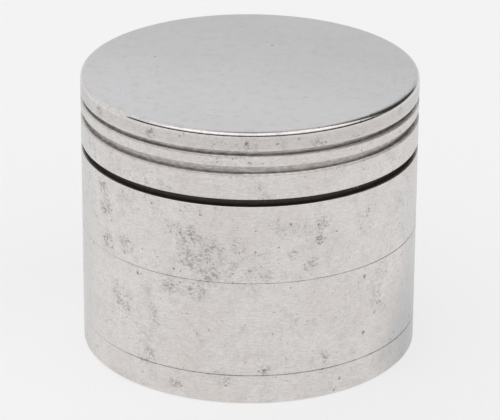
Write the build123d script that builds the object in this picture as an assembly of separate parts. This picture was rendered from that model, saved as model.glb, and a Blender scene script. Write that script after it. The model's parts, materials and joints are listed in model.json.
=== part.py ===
"""A hand crusher for tablets: lid, crushing chamber, collection chamber with a sieve, and powder base.

Every storey is turned about Z and stacked on the one below it. The origin is the centre of the underside,
+Z points up towards the lid, and lengths are in millimetres.

The lid spins on a polymer glide ring and lifts off against two magnets. Each storey below it screws onto
the neck of the next one with a coarse four-start thread, which an O-ring at its foot seals.
"""

import os

from build123d import *

# Outside of the stack
OUTER_R = 31.5
BASE_TOP = 5.8  # seam between the base and the collection chamber
COLLECTION_TOP = 24.2  # seam between the collection chamber and the crushing chamber
CHAMBER_TOP = 39.2  # shoulder that carries the glide ring
LID_BOTTOM = 40.6
LID_TOP = 53.5
TOP_ROUND = 1.0  # softened edge round the top of the lid
FOOT_BEVEL = 0.5
EDGE_BREAK = 0.06  # at every other outside corner
SEAM_GAP = 0.02  # between storeys that touch

# Grip grooves round the lid: (lower edge, upper edge)
GRIP_GROOVES = ((45.5, 46.9), (49.0, 49.9))
GROOVE_DEPTH = 0.85
LOWER_LIP_ROUND, UPPER_LIP_ROUND = 0.35, 0.12  # at the mouth of each groove

# Threads that join the storeys
STARTS = 4
PITCH = 1.5
LEAD = STARTS * PITCH
MALE_ROOT_R, MALE_CREST_R = 27.7, 28.5
FEMALE_ROOT_R, FEMALE_CREST_R = 28.75, 27.95
RIDGE_ROOT_WIDTH, RIDGE_CREST_WIDTH = 1.05, 0.4
RIDGE_EMBED = 0.2  # how far a ridge's foot runs into its wall
THREAD_LENGTH = 4.2
THREAD_FOOT = 2.1  # from a seam up to the male thread
FEMALE_OVERRUN = 0.2  # how far the female thread runs past the male one at both ends
NECK_HEIGHT = 6.6
NECK_BEVEL = 0.4

# O-ring at the foot of each threaded neck
SEAL_WIRE_R = 0.65
SEAL_CENTRE_R = 27.9
SEAL_RISE = 1.0  # centre of the seal above its seam
SEAL_GROOVE_R, SEAL_GROOVE_HEIGHT = 27.2, 1.4

# Powder base
BASE_FLOOR = 1.8
BASE_BOWL_R = 25.2
BASE_BOWL_FILLET = 4.0
FOOT_RECESS_R, FOOT_RECESS_DEPTH = 26.0, 0.4

# Collection chamber and its sieve, stacked on a ledge
COLLECTION_R = 25.6
LEDGE_R = 23.2
LEDGE_BOTTOM, LEDGE_TOP = 12.9, 14.1
STACK_R = 25.4
STACK_HOLE_R = 23.4
GASKET_THICKNESS = 0.6
SIEVE_THICKNESS = 0.24
CLAMP_THICKNESS = 1.3
CLAMP_NOTCH = (3.0, 1.2)  # spanner notch: width, depth in from the hole
SNAP_WIRE_R = 0.45
SNAP_CENTRE_R = 25.66
SNAP_GROOVE_R, SNAP_GROOVE_HEIGHT = 26.15, 1.0
SNAP_ARC = 334.0

# Crushing chamber
FLOOR_BOTTOM, FLOOR_TOP = 31.2, 34.7
CHAMBER_R = 26.4
CHAMBER_FILLET = 0.8
RIM_R = 28.5
RIM_TOP = 45.6
HUB_R, HUB_BEVEL = 7.0, 0.3
POST_TOP = 41.7
DROP_HOLE_R = 2.5
DROP_HOLES = ((10.1, 6, 30.0), (19.1, 12, 0.0))  # (circle radius, count, first angle)

# Glide ring between the chamber's shoulder and the lid
SLEEVE_IN_R, SLEEVE_OUT_R, SLEEVE_TOP = 28.6, 29.2, 44.4
FLANGE_R = 30.35

# Lid
SKIRT_R = 29.35
CEILING = 49.4
BOSS_BOTTOM = 42.3

# Magnets and the caps pressed in over them
MAGNET_R, MAGNET_THICKNESS = 5.0, 3.0
CAP_R, CAP_THICKNESS = 5.9, 0.5
PRESS_CLEARANCE = 0.02

# Diamond pins: (circle radius, count, first angle) of each ring
PIN_WIDTH, PIN_LENGTH, PIN_FLAT = 3.0, 5.4, 0.7
PIN_TIP_BEVEL = 0.45
PIN_SOCKET_DEPTH = 2.0
LID_PIN_TIP = 35.4
CHAMBER_PIN_TIP = 45.0
LID_PIN_RINGS = {"inner": (10.3, 4, 0.0), "outer": (19.1, 8, 22.5)}
CHAMBER_PIN_RINGS = {"inner": (14.7, 8, 22.5), "outer": (23.4, 12, 15.0)}


def turned(*outline):
    """The solid that a closed outline of (radius, height) points sweeps round Z."""
    return revolve(Plane.XZ * make_face(Polyline(*outline, close=True)), Axis.Z)


def disc(radius, low, high):
    return Pos(0, 0, low) * Cylinder(radius, high - low, align=(Align.CENTER, Align.CENTER, Align.MIN))


def tube(inner, outer, low, high):
    return turned((inner, low), (outer, low), (outer, high), (inner, high))


def spread(count, first):
    """Angles of count places evenly round the circle."""
    return [first + 360 * step / count for step in range(count)]


def ridges(root, crest, seam, low, high, turn):
    """The ridges of a right-hand thread, from the root radius to the crest, clipped to low..high.

    Each ridge is trapezoidal in the axial plane. Both halves of a joint pass the same seam, and the
    half that is turned by half a pitch's worth of angle sits midway between the other's ridges.
    """
    inward = crest < root
    foot = root + RIDGE_EMBED if inward else root - RIDGE_EMBED
    slope = (RIDGE_ROOT_WIDTH - RIDGE_CREST_WIDTH) / 2 / abs(crest - root)
    half_foot = RIDGE_ROOT_WIDTH / 2 + slope * RIDGE_EMBED
    half_crest = RIDGE_CREST_WIDTH / 2
    section = Plane.XZ * make_face(
        Polyline((foot, -half_foot), (crest, -half_crest), (crest, half_crest), (foot, half_foot), close=True)
    )
    path = Helix(LEAD, high - low + 2 * PITCH, foot)
    ridge = Pos(0, 0, low - PITCH) * sweep(section, path=path, is_frenet=True)
    # angle by which the helix has turned when it starts below this joint's seam
    start = 360 * (low - PITCH - seam) / LEAD
    ridge &= tube(min(foot, crest) - 1, max(foot, crest) + 1, low, high)
    return [Rot(0, 0, turn + start + angle) * ridge for angle in spread(STARTS, 0)]


def neck_outline(seam, inner):
    """Outline points of a threaded neck, from its foot at the seam up and over to its bore."""
    top = seam + NECK_HEIGHT
    groove_low = seam + SEAL_RISE - SEAL_GROOVE_HEIGHT / 2
    groove_high = groove_low + SEAL_GROOVE_HEIGHT
    return [
        (MALE_ROOT_R, seam),
        (MALE_ROOT_R, groove_low),
        (SEAL_GROOVE_R, groove_low),
        (SEAL_GROOVE_R, groove_high),
        (MALE_ROOT_R, groove_high),
        (MALE_ROOT_R, top - NECK_BEVEL),
        (MALE_ROOT_R - NECK_BEVEL, top),
        (inner, top),
    ]


def male_thread(seam):
    low = seam + THREAD_FOOT
    return ridges(MALE_ROOT_R, MALE_CREST_R, seam, low, low + THREAD_LENGTH, 0)


def female_thread(seam):
    low = seam + THREAD_FOOT - FEMALE_OVERRUN
    high = seam + THREAD_FOOT + THREAD_LENGTH + FEMALE_OVERRUN
    half_pitch_turn = 360 / STARTS / 2
    return ridges(FEMALE_ROOT_R, FEMALE_CREST_R, seam, low, high, half_pitch_turn)


def seal_ring(seam):
    return Pos(0, 0, seam + SEAL_RISE) * Torus(SEAL_CENTRE_R, SEAL_WIRE_R)


def base_catcher():
    body = turned(
        (0, FOOT_RECESS_DEPTH),
        (FOOT_RECESS_R - FOOT_RECESS_DEPTH, FOOT_RECESS_DEPTH),
        (FOOT_RECESS_R, 0),
        (OUTER_R - FOOT_BEVEL, 0),
        (OUTER_R, FOOT_BEVEL),
        (OUTER_R, BASE_TOP - EDGE_BREAK),
        (OUTER_R - EDGE_BREAK, BASE_TOP),
        *neck_outline(BASE_TOP, 0),
    )
    bowl = disc(BASE_BOWL_R, BASE_FLOOR, BASE_TOP + NECK_HEIGHT)
    bowl = fillet(bowl.edges().filter_by(GeomType.CIRCLE).sort_by(Axis.Z)[0], BASE_BOWL_FILLET)
    return body - bowl + male_thread(BASE_TOP)


def collection_chamber():
    bottom = BASE_TOP + SEAM_GAP
    groove_low = LEDGE_TOP + GASKET_THICKNESS + SIEVE_THICKNESS + CLAMP_THICKNESS
    body = turned(
        (FEMALE_ROOT_R, bottom),
        (OUTER_R - EDGE_BREAK, bottom),
        (OUTER_R, bottom + EDGE_BREAK),
        (OUTER_R, COLLECTION_TOP - EDGE_BREAK),
        (OUTER_R - EDGE_BREAK, COLLECTION_TOP),
        *neck_outline(COLLECTION_TOP, COLLECTION_R),
        (COLLECTION_R, groove_low + SNAP_GROOVE_HEIGHT),
        (SNAP_GROOVE_R, groove_low + SNAP_GROOVE_HEIGHT),
        (SNAP_GROOVE_R, groove_low),
        (COLLECTION_R, groove_low),
        (COLLECTION_R, LEDGE_TOP),
        (LEDGE_R, LEDGE_TOP),
        (LEDGE_R, LEDGE_BOTTOM),
        (FEMALE_ROOT_R, LEDGE_BOTTOM),
    )
    return body + female_thread(BASE_TOP) + male_thread(COLLECTION_TOP)


def clamp_ring(low):
    """Flat ring with two spanner notches in its hole."""
    width, depth = CLAMP_NOTCH
    ring = tube(STACK_HOLE_R, STACK_R, low, low + CLAMP_THICKNESS)
    notch = Box(2 * (STACK_HOLE_R + depth), width, 2 * CLAMP_THICKNESS)
    return ring - Pos(0, 0, low + CLAMP_THICKNESS / 2) * notch


def snap_ring(low):
    """Open ring of round wire that springs out into its groove."""
    wire = Plane.XZ * (Pos(SNAP_CENTRE_R, 0) * Circle(SNAP_WIRE_R))
    ring = revolve(wire, Axis.Z, SNAP_ARC)
    return Pos(0, 0, low + SNAP_WIRE_R) * Rot(0, 0, -SNAP_ARC / 2) * ring


def diamond(margin=0.0):
    """Section of a pin, long way along Y, with its two sharp corners cut flat."""
    across, along, flat = PIN_WIDTH / 2 + margin, PIN_LENGTH / 2 + margin, PIN_FLAT / 2
    return make_face(
        Polyline(
            (across, 0),
            (flat, along),
            (-flat, along),
            (-across, 0),
            (-flat, -along),
            (flat, -along),
            close=True,
        )
    )


def pin(root, tip):
    """A diamond bar from its pressed-in root to its bevelled tip, on the Z axis."""
    bar = Pos(0, 0, min(root, tip)) * extrude(diamond(), abs(tip - root))
    ends = bar.faces().sort_by(Axis.Z)
    return chamfer((ends[-1] if tip > root else ends[0]).edges(), PIN_TIP_BEVEL)


def places(ring):
    """Where the pins of one ring stand, each with its width along the radius."""
    radius, count, first = ring
    return [Rot(0, 0, angle) * Pos(radius, 0, 0) for angle in spread(count, first)]


def sockets(rings, low):
    """Cutters for the sockets that pins are pressed into, starting at height low."""
    cutter = Pos(0, 0, low) * extrude(diamond(PRESS_CLEARANCE), PIN_SOCKET_DEPTH)
    return [place * cutter for ring in rings.values() for place in places(ring)]


def drop_holes():
    hole = disc(DROP_HOLE_R, FLOOR_BOTTOM - 1, FLOOR_TOP + 1)
    return [
        Rot(0, 0, angle) * Pos(radius, 0, 0) * hole
        for radius, count, first in DROP_HOLES
        for angle in spread(count, first)
    ]


def magnet_pocket(mouth, inward):
    """Cutter for a magnet and its cap. The pocket runs from its mouth along inward, +1 up or -1 down."""
    cap_end = mouth + inward * (CAP_THICKNESS + PRESS_CLEARANCE)
    magnet_end = cap_end + inward * (MAGNET_THICKNESS + PRESS_CLEARANCE)
    seat = disc(CAP_R + PRESS_CLEARANCE, min(mouth, cap_end), max(mouth, cap_end))
    hole = disc(MAGNET_R + PRESS_CLEARANCE, min(cap_end, magnet_end), max(cap_end, magnet_end))
    return [seat, hole]


def hub(foot, face):
    """The round post or boss that holds a magnet, from its foot to its bevelled face."""
    return turned(
        (0, foot),
        (HUB_R, foot),
        (HUB_R, face + HUB_BEVEL * (1 if face < foot else -1)),
        (HUB_R - HUB_BEVEL, face),
        (0, face),
    )


def grinding_chamber():
    bottom = COLLECTION_TOP + SEAM_GAP
    body = turned(
        (FEMALE_ROOT_R, bottom),
        (OUTER_R - EDGE_BREAK, bottom),
        (OUTER_R, bottom + EDGE_BREAK),
        (OUTER_R, CHAMBER_TOP - EDGE_BREAK),
        (OUTER_R - EDGE_BREAK, CHAMBER_TOP),
        (RIM_R, CHAMBER_TOP),
        (RIM_R, RIM_TOP - EDGE_BREAK),
        (RIM_R - EDGE_BREAK, RIM_TOP),
        (0, RIM_TOP),
        (0, FLOOR_BOTTOM),
        (FEMALE_ROOT_R, FLOOR_BOTTOM),
    )
    well = disc(CHAMBER_R, FLOOR_TOP, RIM_TOP)
    well = fillet(well.edges().filter_by(GeomType.CIRCLE).sort_by(Axis.Z)[0], CHAMBER_FILLET)
    well -= hub(FLOOR_TOP, POST_TOP)
    cuts = drop_holes() + magnet_pocket(POST_TOP, -1)
    cuts += sockets(CHAMBER_PIN_RINGS, FLOOR_TOP - PIN_SOCKET_DEPTH)
    return body - well - cuts + female_thread(COLLECTION_TOP)


def glide_ring():
    low = CHAMBER_TOP + SEAM_GAP
    high = LID_BOTTOM - SEAM_GAP
    return turned(
        (SLEEVE_IN_R, low),
        (FLANGE_R, low),
        (FLANGE_R, high),
        (SLEEVE_OUT_R, high),
        (SLEEVE_OUT_R, SLEEVE_TOP),
        (SLEEVE_IN_R, SLEEVE_TOP),
    )


def groove(low, high):
    """Cutter for a grip groove with a square section."""
    return tube(OUTER_R - GROOVE_DEPTH, OUTER_R + 1, low, high)


def round_outside(body, height, radius):
    """Round the outside edge that lies at a height."""
    edges = [
        edge
        for edge in body.edges().filter_by(GeomType.CIRCLE)
        if abs(edge.radius - OUTER_R) < 0.001 and abs(edge.arc_center.Z - height) < 0.001
    ]
    return fillet(edges, radius)


def lid():
    body = turned(
        (0, CEILING),
        (0, LID_TOP),
        (OUTER_R, LID_TOP),
        (OUTER_R, LID_BOTTOM + EDGE_BREAK),
        (OUTER_R - EDGE_BREAK, LID_BOTTOM),
        (SKIRT_R + EDGE_BREAK, LID_BOTTOM),
        (SKIRT_R, LID_BOTTOM + EDGE_BREAK),
        (SKIRT_R, CEILING),
    )
    body -= [groove(low, high) for low, high in GRIP_GROOVES]
    body = round_outside(body, LID_TOP, TOP_ROUND)
    for low, high in GRIP_GROOVES:
        body = round_outside(body, low, LOWER_LIP_ROUND)
        body = round_outside(body, high, UPPER_LIP_ROUND)
    body += hub(CEILING, BOSS_BOTTOM)
    return body - (sockets(LID_PIN_RINGS, CEILING) + magnet_pocket(BOSS_BOTTOM, 1))


def sieve_stack():
    """Gasket, sieve, clamp ring and snap ring, laid on the collection chamber's ledge in that order."""
    sieve_low = LEDGE_TOP + GASKET_THICKNESS
    clamp_low = sieve_low + SIEVE_THICKNESS
    return {
        "sieve_gasket": tube(STACK_HOLE_R, STACK_R, LEDGE_TOP, sieve_low),
        "sieve_mesh": disc(STACK_R, sieve_low, clamp_low),
        "sieve_clamp_ring": clamp_ring(clamp_low),
        "sieve_snap_ring": snap_ring(clamp_low + CLAMP_THICKNESS),
    }


def magnets():
    """Each magnet lies just inside its cap, lid's above the gap and chamber's below it."""
    lid_magnet = BOSS_BOTTOM + CAP_THICKNESS + PRESS_CLEARANCE
    chamber_magnet = POST_TOP - CAP_THICKNESS - PRESS_CLEARANCE
    return {
        "lid_magnet": disc(MAGNET_R, lid_magnet, lid_magnet + MAGNET_THICKNESS),
        "lid_magnet_cap": disc(CAP_R, BOSS_BOTTOM, BOSS_BOTTOM + CAP_THICKNESS),
        "chamber_magnet": disc(MAGNET_R, chamber_magnet - MAGNET_THICKNESS, chamber_magnet),
        "chamber_magnet_cap": disc(CAP_R, POST_TOP - CAP_THICKNESS, POST_TOP),
    }


def pins(owner, rings, root, tip):
    """One named pin for each place of each ring."""
    bar = pin(root, tip)
    return {
        f"{owner}_pin_{ring}_{number}": place * bar
        for ring, layout in rings.items()
        for number, place in enumerate(places(layout), 1)
    }


parts = {
    "base_catcher": base_catcher(),
    "base_seal_ring": seal_ring(BASE_TOP),
    "collection_chamber": collection_chamber(),
    **sieve_stack(),
    "chamber_seal_ring": seal_ring(COLLECTION_TOP),
    "grinding_chamber": grinding_chamber(),
    "glide_ring": glide_ring(),
    "lid": lid(),
    **magnets(),
    **pins("lid", LID_PIN_RINGS, CEILING + PIN_SOCKET_DEPTH, LID_PIN_TIP),
    **pins("chamber", CHAMBER_PIN_RINGS, FLOOR_TOP - PIN_SOCKET_DEPTH, CHAMBER_PIN_TIP),
}

os.makedirs("parts", exist_ok=True)
for name, shape in parts.items():
    export_step(shape, f"parts/{name}.step")
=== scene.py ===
"""Looks of the pill crusher: worn satin aluminium, woven sieve, dark glide ring, pale studio."""

import json
import math

import bpy
from mathutils import Euler, Matrix, Vector


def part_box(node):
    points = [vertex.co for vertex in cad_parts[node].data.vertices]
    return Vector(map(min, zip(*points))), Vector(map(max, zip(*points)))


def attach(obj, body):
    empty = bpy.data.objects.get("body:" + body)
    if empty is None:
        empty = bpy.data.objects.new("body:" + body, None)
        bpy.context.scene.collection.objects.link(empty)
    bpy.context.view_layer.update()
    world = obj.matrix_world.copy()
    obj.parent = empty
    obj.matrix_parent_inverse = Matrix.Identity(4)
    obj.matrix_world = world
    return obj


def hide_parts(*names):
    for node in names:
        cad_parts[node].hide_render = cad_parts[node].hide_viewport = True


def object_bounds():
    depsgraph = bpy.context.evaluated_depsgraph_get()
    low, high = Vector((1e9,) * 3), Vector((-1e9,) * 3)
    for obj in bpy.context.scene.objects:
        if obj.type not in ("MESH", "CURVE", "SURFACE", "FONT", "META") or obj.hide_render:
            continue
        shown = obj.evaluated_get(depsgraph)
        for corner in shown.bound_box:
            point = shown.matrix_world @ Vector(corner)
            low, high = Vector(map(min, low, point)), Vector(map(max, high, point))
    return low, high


MM = 0.001

# Camera: where it stands round the object, and its long lens
VIEW_ELEVATION = 23.19
VIEW_DISTANCE = 588.8 * MM
VIEW_ROLL = 0.3455
AIM_ASIDE = 0.145 * MM
AIM_ABOVE_CENTRE = -1.55 * MM
LENS = 224.24
SENSOR = 36.0
NEAREST_SEEN = 10 * MM

# Studio: a pale floor that glows a little, under an even sky with patches of light and dark
FLOOR_HALF = 3.0
FLOOR_GAP = 0.02 * MM
FLOOR_GREY = 0.24
FLOOR_GLOW = 0.69
SKY_LEVEL = 0.84
SKY_PATCHES = (  # left and right azimuth, low and high elevation, soft edge (degrees), brightness
    (-90, 95, -20, 22, 6, 0.0),  # dark front horizon
    (-74, 92, 34, 70, 5, 1.35),  # soft light over the front
    (95, 146, 5, 68, 6, 0.04),  # dark flag at the right
    (-400, 400, 76, 400, 4, 0.25),  # dimmer overhead
)

# Sizes of the outside that the finishes follow, in millimetres
OUTER_R = 31.5
LID_TOP = 53.5
TOP_ROUND = 1.0
SHOULDER = 39.2
SEAMS = {5.81: 0.62, 24.21: 0.30}  # height: how dark its line is
GROOVES = ((45.5, 46.9), (49.0, 49.9))
LIP_ROUND = 0.35
BEHIND_GROOVES = (30.2, 30.4)  # radius where the lid's wall begins, as a soft step
HANDLED_BAND = (50.2, 52.3)  # heights between which fingers darken the lid's edge

# The sieve's weave
WEAVE_PITCH = 0.8 * MM
WIRE_SIDES = 6

# Colours of the worn aluminium, of what clings to it, and of the painted shade and reflections on it
WALL_DARK, WALL_PALE = (0.785, 0.742, 0.715), (0.850, 0.815, 0.790)
# Lid face: random clouds between these, and paler towards the front as a painted reflection
FACE_DARK, FACE_PALE = (0.585, 0.587, 0.597), (0.715, 0.717, 0.730)
# Painted reflection: the cooler, darker tone of the walls towards the sides and round the back
SIDE_REFLECTION_TONE = (0.672, 0.678, 0.672)
# Painted reflection of the object's shadow on the floor: the darker, bluer lower right of the wall
REFLECTED_SHADOW_TONE = (0.44, 0.46, 0.48)
STAIN = (0.46, 0.435, 0.42)
TURNING_LINE = (0.42, 0.41, 0.40)
HANDLED = (0.44, 0.42, 0.41)
GRAIN = (0.40, 0.38, 0.37)
SMUDGE = (0.34, 0.33, 0.32)
PIT = (0.18, 0.17, 0.165)
# Dark colour of the grooves, of the seam lines (part dirt, part painted shade) and of the painted
# reflection of the glide ring on the shoulder
DIRT_AND_SHADE = (0.115, 0.098, 0.085)
POWDER = (0.80, 0.78, 0.75)
DUST = (0.16, 0.14, 0.12)
FLECK = (0.50, 0.46, 0.42)

# Roughness of the lid's rim, rubbed bright, and of the grooves' lips, worn dull
RIM_ROUGHNESS = 0.17
LIP_ROUGHNESS = 0.55

# Where the wall is smudged: (degrees to the right of the front, height, reach), in degrees and millimetres
SMUDGES = (
    (-57, 37, 3.0), (-56, 33, 3.4), (-56, 27, 2.8), (-45, 28, 2.6), (-20, 32.5, 3.6), (-19, 28.5, 3.8),
    (-12, 30, 3.4), (-3, 31.5, 2.4), (-14, 26, 3.8), (15, 29.3, 1.8), (25, 35, 2.0), (24, 32, 2.0),
    (21, 27, 2.4), (5, 25.8, 2.0), (-27, 22.2, 2.4), (-18, 22.0, 2.8), (-48, 16.6, 4.0), (-36, 7, 2.8),
    (5, 7, 2.0), (-25, 3, 2.0), (26, 8, 2.0), (-34, 51.2, 1.8), (23, 50.6, 1.6), (0, 50.8, 1.8),
    (-60, 51.2, 1.8), (60, 51.4, 1.8), (60, 48.0, 1.4),
)
SPECKS = (
    (-16, 37.2, 0.42), (2, 30.4, 0.42), (42, 22.2, 0.55), (50, 15.8, 0.45), (42, 10.8, 0.45), (32, 3, 0.4),
    (-1, 51.4, 0.4), (16, 52.0, 0.35), (-40, 22.9, 0.45), (0, 47.8, 0.35), (-46, 26, 0.42), (9, 51.3, 0.3),
)
RING_FLECKS = ((38, 40.1, 0.35), (40, 39.9, 0.25))

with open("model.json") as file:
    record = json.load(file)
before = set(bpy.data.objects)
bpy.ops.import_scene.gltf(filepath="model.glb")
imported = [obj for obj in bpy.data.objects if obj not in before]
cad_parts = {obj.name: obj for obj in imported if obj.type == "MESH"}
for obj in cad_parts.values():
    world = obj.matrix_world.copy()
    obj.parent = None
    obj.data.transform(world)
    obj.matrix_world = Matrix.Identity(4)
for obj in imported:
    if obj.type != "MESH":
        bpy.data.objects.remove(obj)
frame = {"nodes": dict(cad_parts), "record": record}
cad_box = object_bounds()


# ---------------------------------------------------------------- node trees


class Tree:
    """A node tree that is built by calls; every call gives back the sockets it made."""

    def __init__(self, owner):
        owner.use_nodes = True
        self.tree = owner.node_tree
        self.tree.nodes.clear()

    def node(self, kind, inputs=None, **settings):
        made = self.tree.nodes.new("ShaderNode" + kind)
        for name, value in settings.items():
            setattr(made, name, value)
        for name, value in (inputs or {}).items():
            if isinstance(value, bpy.types.NodeSocket):
                self.tree.links.new(value, made.inputs[name])
            else:
                made.inputs[name].default_value = value
        return made

    def math(self, operation, *values, clamp=False):
        made = self.node("Math", dict(enumerate(values)), operation=operation, use_clamp=clamp)
        return made.outputs[0]

    def total(self, *values):
        result = values[0]
        for value in values[1:]:
            result = self.math("ADD", result, value)
        return result

    def product(self, *values):
        result = values[0]
        for value in values[1:]:
            result = self.math("MULTIPLY", result, value)
        return result

    def ramp(self, value, low, high, start=0.0, end=1.0):
        """Smooth step from start, at value low, to end, at value high."""
        inputs = {"Value": value, "From Min": low, "From Max": high, "To Min": start, "To Max": end}
        return self.node("MapRange", inputs, interpolation_type="SMOOTHSTEP").outputs[0]

    def between(self, value, low, high, edge):
        """1 where value lies between low and high, with soft edges."""
        above_low = self.ramp(value, low - edge, low + edge)
        below_high = self.ramp(value, high + edge, high - edge)
        return self.product(above_low, below_high)

    def noise(self, vector, scale, detail=2.0, roughness=0.5, distortion=0.0):
        inputs = {"Vector": vector, "Scale": scale, "Detail": detail, "Roughness": roughness,
                  "Distortion": distortion}
        return self.node("TexNoise", inputs).outputs[0]

    def cells(self, vector, scale):
        """Distance to the nearest random point, and a random number for each point."""
        made = self.node("TexVoronoi", {"Vector": vector, "Scale": scale})
        parts = self.node("SeparateColor", {"Color": made.outputs["Color"]})
        return made.outputs["Distance"], parts.outputs[0], parts.outputs[1]

    def blend(self, factor, low, high):
        """Colour that goes from low to high with factor."""
        made = self.node("Mix", {0: factor}, data_type="RGBA")
        for index, value in ((6, low), (7, high)):
            if isinstance(value, bpy.types.NodeSocket):
                self.tree.links.new(value, made.inputs[index])
            else:
                made.inputs[index].default_value = (*value, 1.0)
        return made.outputs[2]

    def join(self, x, y, z):
        return self.node("CombineXYZ", {0: x, 1: y, 2: z}).outputs[0]

    def principled(self, **inputs):
        """The surface shader, its sockets named in words joined by underscores."""
        named = {name.replace("_", " "): value for name, value in inputs.items()}
        for name, value in named.items():
            if isinstance(value, tuple) and len(value) == 3:
                named[name] = (*value, 1.0)
        shader = self.node("BsdfPrincipled", named)
        self.node("OutputMaterial", {"Surface": shader.outputs[0]})
        return shader


class Finish(Tree):
    """A material in the row frame, in millimetres, with its distance from the axis and its height."""

    def __init__(self, name):
        self.material = bpy.data.materials.new(name)
        super().__init__(self.material)
        place = self.node("TexCoord").outputs["Object"]
        self.place = self.node("VectorMath", {0: place, "Scale": 1 / MM}, operation="SCALE").outputs[0]
        parts = self.node("SeparateXYZ", {0: self.place})
        self.x, self.y, self.z = parts.outputs
        squares = self.total(self.product(self.x, self.x), self.product(self.y, self.y))
        self.radius = self.math("SQRT", squares)
        shake = self.node("TexNoise", {"Vector": self.place, "Scale": 1.6, "Detail": 2.0}).outputs[1]
        shake = self.node("VectorMath", {0: shake, 1: (0.5, 0.5, 0.5)}, operation="SUBTRACT").outputs[0]
        shake = self.node("VectorMath", {0: shake, "Scale": 1.1}, operation="SCALE").outputs[0]
        self.warped = self.node("VectorMath", {0: self.place, 1: shake}, operation="ADD").outputs[0]

    def angle(self):
        """Degrees round the axis: 0 at the front, positive to the right."""
        return self.math("DEGREES", self.math("ARCTAN2", self.x, self.product(self.y, -1.0)))

    def bump(self, height, strength, distance_mm):
        inputs = {"Height": height, "Strength": strength, "Distance": distance_mm * MM}
        return self.node("Bump", inputs).outputs[0]


# ---------------------------------------------------------------- finishes


def nearest(finish, marks, radius, softness):
    """1 at the marks on the wall of this radius, falling to 0 at the reach of each."""
    result = 0.0
    for angle, height, reach in marks:
        across = math.radians(angle)
        point = (radius * math.sin(across), -radius * math.cos(across), height)
        gap = finish.node("VectorMath", {0: finish.warped, 1: point}, operation="DISTANCE").outputs["Value"]
        result = finish.math("MAXIMUM", result, finish.ramp(gap, reach, reach * softness))
    return result


def dots(finish, scale, share, size, crowd):
    """Small dark dots, one in each random cell that is chosen: more of them where crowd is high."""
    distance, pick, spread = finish.cells(finish.warped, scale)
    chosen = finish.math("LESS_THAN", pick, finish.product(crowd, share))
    reach = finish.ramp(spread, 0.0, 1.0, 0.4 * size, size)
    return finish.product(chosen, finish.ramp(finish.math("DIVIDE", distance, reach), 1.0, 0.2))


def turning_lines(f, flat):
    """Fine lines round the axis: stacked along the height on walls, along the radius on faces."""
    small_x, small_y = f.product(f.x, 0.10), f.product(f.y, 0.10)
    wall_lines = f.noise(f.join(small_x, small_y, f.product(f.z, 4.0)), 1.0, 4.0, 0.7)
    face_lines = f.noise(f.join(small_x, small_y, f.product(f.radius, 4.0)), 1.0, 4.0, 0.7)
    return f.node("Mix", {0: flat, 2: wall_lines, 3: face_lines}).outputs[0]


def pits_and_patches(f, wall, stains):
    """Small dark pits and the cloudy patches round them, crowded together in the smudges."""
    smudged = f.product(nearest(f, SMUDGES, OUTER_R, 0.05), f.ramp(stains, 0.38, 0.56, 0.25, 1.2))
    drift = f.ramp(f.noise(f.place, 0.13, 3.0, 0.6, 0.5), 0.52, 0.72)
    crowd = f.product(wall, f.math("MAXIMUM", smudged, f.product(drift, 0.45)))
    share = f.total(f.product(crowd, 0.95), f.product(wall, 0.022), 0.008)
    coarse = dots(f, 0.95, 0.50, 0.34, share)
    middle = dots(f, 1.7, 0.75, 0.50, share)
    fine = dots(f, 2.8, 0.80, 0.62, share)
    specks = f.product(wall, nearest(f, SPECKS, OUTER_R, 0.25))
    pits = f.math("MAXIMUM", coarse, f.math("MAXIMUM", f.product(middle, 0.85), f.product(fine, 0.6)))
    patches = f.noise(f.join(f.x, f.y, f.product(f.z, 1.5)), 1.5, 3.0, 0.7, 0.4)
    return f.math("MAXIMUM", pits, specks), f.product(crowd, f.ramp(patches, 0.45, 0.58))


def dirt_and_shade_marks(f, angle, stains, dashes):
    """Darker grooves, more towards their bottoms; a painted reflection of the dark glide ring on the
    shoulder under it; dark seam lines, part dirt and part painted shade, full at the front.
    """
    outer = f.ramp(f.radius, OUTER_R - 0.30, OUTER_R - 0.42)
    recess = f.product(outer, f.ramp(f.radius, *BEHIND_GROOVES))
    # Painted reflection of the dark glide ring on the shoulder under it
    dirt_and_shade = f.product(recess, f.between(f.z, SHOULDER - 0.05, SHOULDER + 0.2, 0.05), 0.95)
    for low, high in GROOVES:
        deep = f.product(f.ramp(f.z, high, low + 0.2, 0.36, 0.44), f.ramp(dashes, 0.36, 0.62, 0.7, 1.25))
        dirt_and_shade = f.math("MAXIMUM", dirt_and_shade, f.product(recess, f.between(f.z, low - 0.1, high, 0.04), deep))
    # Seam lines, part dirt and part painted shade: full at the front, a tenth as dark at the sides and back
    frontal = f.ramp(f.math("ABSOLUTE", angle), 64, 30, 0.1, 1.0)
    for height, depth in SEAMS.items():
        line = f.ramp(f.math("ABSOLUTE", f.total(f.z, -height)), 0.13, 0.05, 0.0, depth)
        line = f.product(line, frontal)
        dirt_and_shade = f.math("MAXIMUM", dirt_and_shade, f.product(line, f.ramp(stains, 0.35, 0.6, 0.6, 1.0)))
    return dirt_and_shade


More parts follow.
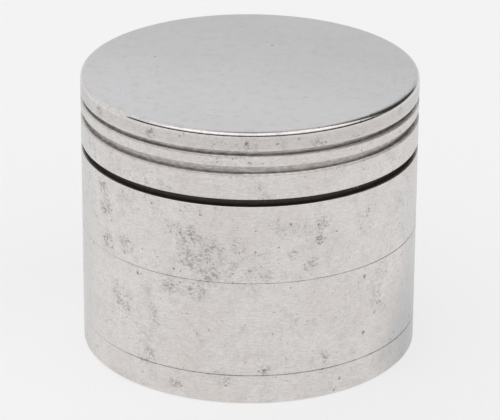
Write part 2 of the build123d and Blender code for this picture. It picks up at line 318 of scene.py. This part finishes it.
def clean_tone(f, wall, lid_face, angle, clouds):
    """Colour of the bare metal: warm walls and a cooler lid face, with painted reflections: the lid face
    paler at the front, the sides and back cooler and darker, the lower right darker and bluer.
    """
    # Painted reflection of the object's shadow on the floor: the lower right of the wall darker and bluer,
    # with ragged edges
    uneven = f.product(f.total(clouds, -0.5), 60.0)
    ragged = f.total(angle, uneven)
    painted_reflected_shadow = f.product(f.ramp(ragged, 46, 68), f.ramp(ragged, 165, 95))
    painted_reflected_shadow = f.product(painted_reflected_shadow, f.ramp(f.total(f.z, f.product(uneven, 0.5)), 26, 4), wall)
    # Painted reflection: walls cooler and darker from 60 degrees to either side and round the back
    painted_side_reflection = f.product(wall, f.ramp(f.math("ABSOLUTE", angle), 60, 74))
    tone = f.blend(f.ramp(clouds, 0.35, 0.65), WALL_DARK, WALL_PALE)
    # Painted side reflection laid over the wall tone
    tone = f.blend(f.product(painted_side_reflection, 0.7), tone, SIDE_REFLECTION_TONE)
    # Painted reflection on the lid face: paler towards the front, darker towards the back, with random
    # clouds on top
    slant = f.total(f.y, f.product(f.x, 0.35))
    clouds_and_painted_reflection = f.total(f.ramp(clouds, 0.35, 0.65, 0.0, 0.25), f.ramp(slant, -25.0, 25.0, 0.75, 0.0))
    tone = f.blend(lid_face, tone, f.blend(clouds_and_painted_reflection, FACE_DARK, FACE_PALE))
    # Painted reflected shadow at the lower right
    tone = f.blend(f.product(painted_reflected_shadow, 0.70), tone, REFLECTED_SHADOW_TONE)
    return f.blend(f.product(wall, f.between(f.z, *HANDLED_BAND, 0.3), 0.26), tone, HANDLED)


def worn_aluminium():
    """Satin turned aluminium, handled for years: smudges, pits, darker grooves and seams, with painted
    shade and reflections.
    """
    f = Finish("worn_aluminium")
    angle = f.angle()

    wall = f.ramp(f.radius, 30.9, 31.1)
    facing_up = f.node("SeparateXYZ", {0: f.node("TexCoord").outputs["Normal"]}).outputs[2]
    flat = f.ramp(f.math("ABSOLUTE", facing_up), 0.75, 0.9)
    lid_face = f.product(flat, f.ramp(f.z, LID_TOP - 0.3, LID_TOP - 0.1))
    inside = f.product(f.ramp(f.radius, 30.3, 30.0), f.ramp(lid_face, 1.0, 0.0))

    # Broad clouds of handling, softer stains, grain, and short dashes round the walls
    clouds = f.noise(f.place, 0.07, 3.0, 0.6)
    stains = f.noise(f.warped, 0.45, 4.0, 0.65)
    grain = f.noise(f.place, 2.4, 3.0, 0.65)
    dashes = f.noise(f.join(f.product(f.x, 0.9), f.product(f.y, 0.9), f.product(f.z, 3.6)), 1.0, 2.0, 0.6)
    lines = turning_lines(f, flat)
    pits, cloudy = pits_and_patches(f, wall, stains)
    dirt_and_shade = dirt_and_shade_marks(f, angle, stains, dashes)

    tone = clean_tone(f, wall, lid_face, angle, clouds)
    tone = f.blend(f.ramp(stains, 0.48, 0.72, 0.0, 0.26), tone, STAIN)
    turned = f.product(f.ramp(flat, 0.0, 1.0, 0.10, 0.24), f.ramp(lid_face, 0.0, 1.0, 1.0, 0.5))
    tone = f.blend(f.product(turned, f.ramp(lines, 0.35, 0.7)), tone, TURNING_LINE)
    tone = f.blend(f.product(wall, f.ramp(dashes, 0.38, 0.66, 0.0, 0.22)), tone, HANDLED)
    tone = f.blend(f.product(wall, f.ramp(grain, 0.40, 0.66, 0.0, 0.17)), tone, GRAIN)
    tone = f.blend(f.product(cloudy, 0.84), tone, SMUDGE)
    tone = f.blend(f.product(pits, 0.75), tone, PIT)
    # Darker grooves, seam lines that are part painted shade, and the painted reflection of the glide ring
    # on the shoulder
    tone = f.blend(dirt_and_shade, tone, DIRT_AND_SHADE)

    # Powder that clings inside
    powder = f.product(inside, f.ramp(stains, 0.45, 0.7, 0.05, 0.35))
    tone = f.blend(powder, tone, POWDER)

    # The rim is rubbed bright and the lips of the grooves are worn dull
    edge = LID_TOP - TOP_ROUND
    rim = f.product(f.ramp(f.z, edge - 0.1, edge + 0.1), f.ramp(flat, 1.0, 0.0))
    lips = 0.0
    for low, _ in GROOVES:
        lips = f.math("MAXIMUM", lips, f.between(f.z, low - LIP_ROUND, low - 0.03, 0.03))
    outside = f.ramp(f.radius, *BEHIND_GROOVES)
    rim = f.product(rim, outside)
    lips = f.product(lips, outside)
    rough = f.total(f.ramp(clouds, 0.3, 0.7, 0.29, 0.35), f.product(pits, 0.2), f.product(dirt_and_shade, 0.2))
    rough = f.node("Mix", {0: rim, 2: rough, 3: RIM_ROUGHNESS}).outputs[0]
    rough = f.node("Mix", {0: lips, 2: rough, 3: LIP_ROUGHNESS}).outputs[0]
    rough = f.total(rough, f.product(powder, 0.3))
    height = f.total(f.product(lines, 0.3), f.product(grain, 0.2), f.product(pits, -1.0))
    height = f.product(height, f.ramp(f.math("MAXIMUM", rim, lips), 0.0, 1.0, 1.0, 0.2))
    metal = f.ramp(powder, 0.0, 1.0, 1.0, 0.0)
    f.principled(Base_Color=tone, Metallic=metal, Roughness=rough, Normal=f.bump(height, 0.22, 0.05))
    return f.material


def plain_metal(name, colour, roughness, grain_scale):
    """Clean metal with a light grain: pins, caps, magnets, springs and wire."""
    f = Finish(name)
    grain = f.noise(f.place, grain_scale, 3.0, 0.6)
    clouds = f.noise(f.place, 0.4, 2.0, 0.5)
    dark = tuple(0.75 * part for part in colour)
    tone = f.blend(f.ramp(grain, 0.35, 0.75), colour, dark)
    rough = f.total(f.ramp(clouds, 0.3, 0.7, roughness - 0.06, roughness + 0.06), f.product(grain, 0.08))
    f.principled(Base_Color=tone, Metallic=1.0, Roughness=rough, Normal=f.bump(grain, 0.15, 0.03))
    return f.material


def dull(name, colour, roughness, dust, flecks=()):
    """Rubber or polymer with a film of dust, and any pale flecks on the glide ring's outer edge."""
    f = Finish(name)
    film = f.noise(f.place, 1.2, 4.0, 0.65)
    grain = f.noise(f.place, 9.0, 2.0, 0.5)
    tone = f.blend(f.ramp(film, 0.45, 0.75, 0.0, dust), colour, DUST)
    if flecks:
        ring_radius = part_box("glide_ring")[1].x / MM
        tone = f.blend(nearest(f, flecks, ring_radius, 0.4), tone, FLECK)
    f.principled(Base_Color=tone, Roughness=roughness, Normal=f.bump(grain, 0.2, 0.03))
    return f.material


FINISHES = {
    "worn_aluminium": worn_aluminium(),
    "pin_steel": plain_metal("pin_steel", (0.56, 0.56, 0.57), 0.30, 4.0),
    "cap_steel": plain_metal("cap_steel", (0.62, 0.62, 0.63), 0.22, 2.0),
    "magnet_nickel": plain_metal("magnet_nickel", (0.72, 0.71, 0.68), 0.15, 1.0),
    "sieve_wire": plain_metal("sieve_wire", (0.60, 0.60, 0.60), 0.32, 6.0),
    "spring_steel": plain_metal("spring_steel", (0.50, 0.50, 0.51), 0.25, 3.0),
    "dark_polymer": dull("dark_polymer", (0.040, 0.032, 0.025), 0.50, 0.25, RING_FLECKS),
    "seal_rubber": dull("seal_rubber", (0.020, 0.020, 0.021), 0.45, 0.15),
    "gasket_rubber": dull("gasket_rubber", (0.030, 0.030, 0.030), 0.65, 0.20),
}

slots = {entry["node"]: entry["material_slot"] for entry in frame["record"]["subparts"]}
for name, node in frame["nodes"].items():
    for place in node.material_slots:
        place.material = FINISHES[slots[name]]


# ---------------------------------------------------------------- woven sieve


def add_wire(corners, faces, start, end, radius, row, first):
    """Add one wire of the weave, a thin tube that passes over and under the wires that cross it.

    The wires of one direction begin on top and those of the other below: first is 1 or -1.
    """
    span = end - start
    steps = max(2, round(span.length / (WEAVE_PITCH / 2)))
    along = span.normalized()
    up = Vector((0, 0, 1))
    across = along.cross(up)
    base = len(corners)
    for step in range(steps + 1):
        middle = start + span * step / steps
        middle.z += first * radius * math.cos(math.pi * (middle.dot(along) / WEAVE_PITCH + row))
        for side in range(WIRE_SIDES):
            turn = math.tau * side / WIRE_SIDES
            rim = across * math.cos(turn) + up * math.sin(turn)
            corners.append(middle + rim * radius)
    for step in range(steps):
        near = base + step * WIRE_SIDES
        far = near + WIRE_SIDES
        for side in range(WIRE_SIDES):
            following = (side + 1) % WIRE_SIDES
            faces.append((near + side, near + following, far + following, far + side))
    last = base + steps * WIRE_SIDES
    faces.append([base + side for side in reversed(range(WIRE_SIDES))])
    faces.append([last + side for side in range(WIRE_SIDES)])


def woven_sieve():
    """Plain weave that fills the plain disc's place: wires cross over and under each other."""
    low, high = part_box("sieve_mesh")
    centre = (low + high) / 2
    radius = (high.z - low.z) / 4
    reach = (high.x - low.x) / 2 - radius
    half_pitch = WEAVE_PITCH / 2
    count = int(reach / WEAVE_PITCH)
    corners, faces = [], []
    for row in range(-count, count + 1):
        offset = row * WEAVE_PITCH
        half = math.sqrt(reach**2 - offset**2)
        half = max(WEAVE_PITCH, math.floor(half / half_pitch) * half_pitch)
        for start, end, first in (
            (Vector((-half, offset, 0)), Vector((half, offset, 0)), 1),
            (Vector((offset, -half, 0)), Vector((offset, half, 0)), -1),
        ):
            add_wire(corners, faces, centre + start, centre + end, radius, row, first)
    mesh = bpy.data.meshes.new("woven_sieve")
    mesh.from_pydata(corners, [], faces)
    mesh.shade_smooth()
    mesh.materials.append(FINISHES["sieve_wire"])
    sieve = bpy.data.objects.new("woven_sieve", mesh)
    bpy.context.scene.collection.objects.link(sieve)
    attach(sieve, "collector")
    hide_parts("sieve_mesh")


# ---------------------------------------------------------------- studio


def floor():
    """Plain pale floor that glows a little, so that it stays even close to the object."""
    mesh = bpy.data.meshes.new("floor")
    half = FLOOR_HALF
    corners = [(-half, -half, 0), (half, -half, 0), (half, half, 0), (-half, half, 0)]
    mesh.from_pydata(corners, [], [(0, 1, 2, 3)])
    plane = bpy.data.objects.new("floor", mesh)
    plane.location.z = cad_box[0].z - FLOOR_GAP
    bpy.context.scene.collection.objects.link(plane)
    material = bpy.data.materials.new("floor")
    grey, white = (FLOOR_GREY,) * 3, (1.0, 1.0, 1.0)
    Tree(material).principled(
        Base_Color=grey, Roughness=1.0, Emission_Color=white, Emission_Strength=FLOOR_GLOW
    )
    mesh.materials.append(material)


def studio_sky():
    """Soft surround with the patches of SKY_PATCHES; azimuth is 0 at the front, positive to the right."""
    world = bpy.data.worlds.new("studio")
    bpy.context.scene.world = world
    tree = Tree(world)
    x, y, z = tree.node("SeparateXYZ", {0: tree.node("TexCoord").outputs["Generated"]}).outputs
    azimuth = tree.math("DEGREES", tree.math("ARCTAN2", x, tree.product(y, -1.0)))
    rise = tree.math("DEGREES", tree.math("ARCSINE", z))
    level = SKY_LEVEL
    for left, right, low, high, edge, target in SKY_PATCHES:
        patch = tree.product(tree.between(azimuth, left, right, edge), tree.between(rise, low, high, edge))
        level = tree.node("Mix", {0: patch, 2: level, 3: target}).outputs[0]
    sky = tree.node("Background", {"Color": (1.0, 1.0, 1.0, 1.0), "Strength": level})
    tree.node("OutputWorld", {"Surface": sky.outputs[0]})


def camera():
    """Long lens from the front and above, aimed near the middle of the object."""
    centre = (cad_box[0] + cad_box[1]) / 2
    aim = Vector((centre.x + AIM_ASIDE, centre.y, centre.z + AIM_ABOVE_CENTRE))
    data = bpy.data.cameras.new("camera")
    data.lens = LENS
    data.sensor_width = SENSOR
    data.clip_start = NEAREST_SEEN
    lens = bpy.data.objects.new("camera", data)
    up = math.radians(VIEW_ELEVATION)
    lens.location = aim + VIEW_DISTANCE * Vector((0, -math.cos(up), math.sin(up)))
    tilt = Euler((math.pi / 2 - up, 0, 0)).to_matrix()
    lens.rotation_euler = (tilt @ Matrix.Rotation(math.radians(VIEW_ROLL), 3, "Z")).to_euler()
    bpy.context.scene.collection.objects.link(lens)
    bpy.context.scene.camera = lens


woven_sieve()
floor()
studio_sky()
camera()
bpy.context.scene.view_settings.view_transform = "Standard"
